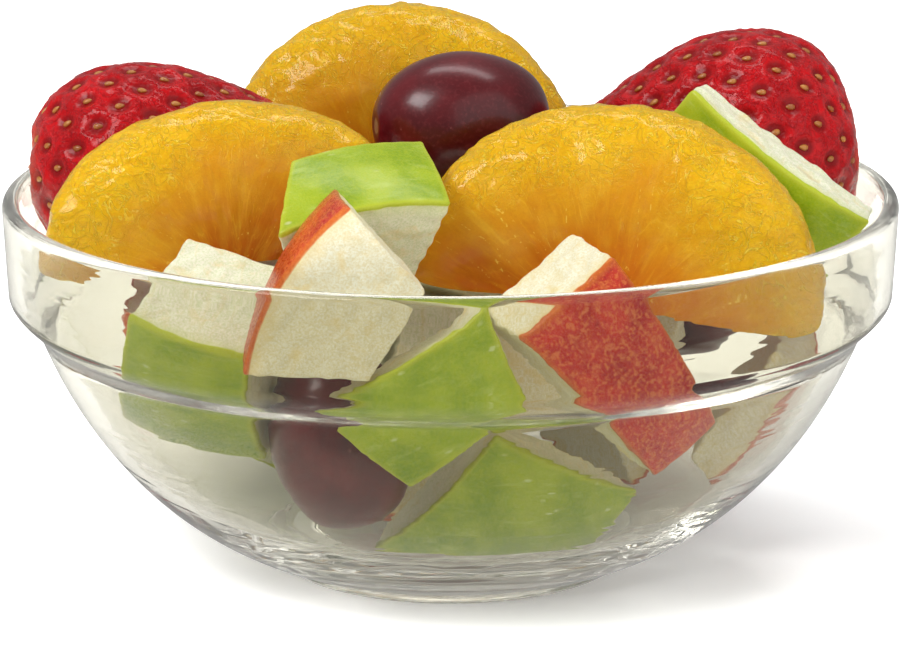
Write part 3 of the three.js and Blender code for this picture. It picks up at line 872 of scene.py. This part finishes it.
# Flesh below the peel's thickness and peel above it, with a wavy line between.
def applePaint(name, peelColour, look):
    paint = Paint(name)
    own = paint.attribute("own", "Vector")
    below, border = paint.attribute("below"), paint.attribute("border")
    inside, grain = fleshColour(paint, own, below, look)
    peel, bumps = peelColour(paint, own, border, look)
    wobble = (paint.clouds(own, 1.2) - 0.5) * 0.3
    onPeel = (below + wobble).step(0.55, 0.4)
    colour = paint.mix(onPeel, inside, peel)
    roughness = 0.42 + (grain - 0.5) * 0.2 - onPeel * 0.14
    fleshHeight = grain * 0.09 + paint.clouds(own, 0.18, detail=1) * 0.02
    height = (1 - onPeel) * fleshHeight + onPeel * (bumps + 0.03)
    return paint.finish(
        colour, roughness, height, Specular_IOR_Level=0.3, Coat_Weight=0.1, Coat_Roughness=0.2, IOR=1.4,
    )


# Two greens with a yellow grain, pale streaks as painted sheen and dashes along the peel, and a yellower
# border.
# Like redPeel, it returns the colour and a height.
def greenPeel(paint, own, border, look):
    broad = paint.clouds(own, 6)
    streaks = paint.clouds(paint.stretch(own, (0.2, 1, 1)), 1, detail=3, rough=0.55, twist=0.4)
    grain = paint.clouds(own, 0.4, rough=0.6)
    colour = paint.mix(broad.step(0.3, 0.7), look["dark"], look["bright"])
    colour = paint.mix(grain.step(0.35, 0.7) * 0.35, colour, look["grain"])
    # painted sheen: pale streaks along the peel
    colour = paint.mix(streaks.step(0.52, 0.8) * 0.45, colour, look["streaks"])
    dashes = paint.cells(paint.stretch(own, (0.4, 1, 1)), 1.7).step(0.2, 0.06) * broad.step(0.42, 0.56)
    colour = paint.mix(dashes * 0.6, colour, look["dashes"])
    colour = paint.mix((border + grain * 0.8).step(1.5, 0.6) * 0.7, colour, look["border"])
    return colour, dashes * 0.02 + grain * 0.03


# Two reds with orange streaks and mottling, dark blotches and a paler border.
def redPeel(paint, own, border, look):
    broad = paint.clouds(own, 5, detail=3, rough=0.6)
    streaks = paint.clouds(paint.stretch(own, (0.15, 1, 1)), 1.3, detail=3, rough=0.6, twist=0.5)
    mottle = paint.clouds(own, 0.9, detail=4, rough=0.75, twist=0.4)
    speckle = paint.clouds(own, 0.45, detail=3, rough=0.75, twist=0.3)
    colour = paint.mix(broad.step(0.3, 0.7), look["dark"], look["bright"])
    colour = paint.mix(streaks.step(0.52, 0.8) * 0.45, colour, look["streaks"])
    colour = paint.mix((mottle + (speckle - 0.5) * 0.9).step(0.48, 0.66) * 0.75, colour, look["mottle"])
    colour = paint.mix(mottle.step(0.42, 0.28) * 0.6, colour, look["blotches"])
    colour = paint.mix((border + mottle * 1.2).step(1.5, 0.6) * 0.6, colour, look["border"])
    return colour, mottle * 0.04


greenApple = applePaint("greenApple", greenPeel, greenLook)
redApple = applePaint("redApple", redPeel, redLook)
for count, (node, size) in enumerate(apples.items()):
    material, slot = (greenApple, "green_apple") if "green" in node else (redApple, "red_apple")
    makeApple(node, size, material, slot, chunk["seed"] + count)
print("apples done")

# places and sizes here are in metres, angles in degrees and powers in watts
studio = {
    "floorHalf": 3, "floorColour": tint(252, 252, 252), "floorRoughness": 0.9, "floorGlow": 0.21,
    "sun": {"from": (-0.45, -0.8, 1), "angle": 14, "power": 2.3},
    "lamps": {
        "key": {"at": (-0.6, -0.45, 0.9), "size": (0.5, 0.4), "power": 6.8},
        "fill": {"at": (0.7, -0.8, 0.45), "size": (1.3, 1.3), "power": 4.5},
        "top": {"at": (0.1, 0.3, 0.95), "size": (0.9, 0.18), "power": 3},
    },
    "lampsAim": (0, 0, 0.03), "worldLight": 0.33, "bounces": 56,
}
white = (1, 1, 1, 1)


# The turn that makes a lamp shine along aim: a tilt off the downward line, then a turn about the upright.
def facing(aim):
    return math.acos(-aim[2] / np.linalg.norm(aim)), 0, math.atan2(aim[1], aim[0]) - math.pi / 2


def addLamp(name, kind, power, aim, at=(0, 0, 0)):
    light = bpy.data.lights.new(name, kind)
    light.energy = power
    lamp = bpy.data.objects.new(name, light)
    lamp.location = at
    lamp.rotation_euler = facing(aim)
    bpy.context.scene.collection.objects.link(lamp)
    return lamp


def makeFloor():
    half = studio["floorHalf"]
    mesh = bpy.data.meshes.new("floor")
    corners = [(-half, -half, 0), (half, -half, 0), (half, half, 0), (-half, half, 0)]
    mesh.from_pydata(corners, [], [(0, 1, 2, 3)])
    mesh.materials.append(Paint("paleFloor").finish(
        studio["floorColour"], studio["floorRoughness"],
        Emission_Color=white, Emission_Strength=studio["floorGlow"],
    ))
    floor = bpy.data.objects.new("floor", mesh)
    bpy.context.scene.collection.objects.link(floor)
    floor.visible_glossy = False  # or the glass reflects a white veil over the fruit
    return floor


def makeStudio():
    # a soft sun that lights the floor alone, so that the floor is white and still takes the bowl's shadow
    floorOnly = bpy.data.collections.new("floorOnly")
    floorOnly.objects.link(makeFloor())
    sun = studio["sun"]
    lamp = addLamp("floorSun", "SUN", sun["power"], -np.array(sun["from"]))
    lamp.data.angle = math.radians(sun["angle"])
    lamp.light_linking.receiver_collection = floorOnly
    for name, panel in studio["lamps"].items():
        aim = np.subtract(studio["lampsAim"], panel["at"])
        lamp = addLamp(name, "AREA", panel["power"], aim, panel["at"])
        lamp.data.shape = "RECTANGLE"
        lamp.data.size, lamp.data.size_y = panel["size"]
    world = bpy.data.worlds.new("studio")
    world.use_nodes = True
    background = world.node_tree.nodes["Background"].inputs
    background["Color"].default_value = white
    background["Strength"].default_value = studio["worldLight"]
    scene = bpy.context.scene
    scene.world = world
    scene.view_settings.view_transform = "Standard"
    scene.cycles.max_bounces = studio["bounces"]
    scene.cycles.glossy_bounces = studio["bounces"]
    scene.cycles.transmission_bounces = studio["bounces"]


makeStudio()
print("studio done")
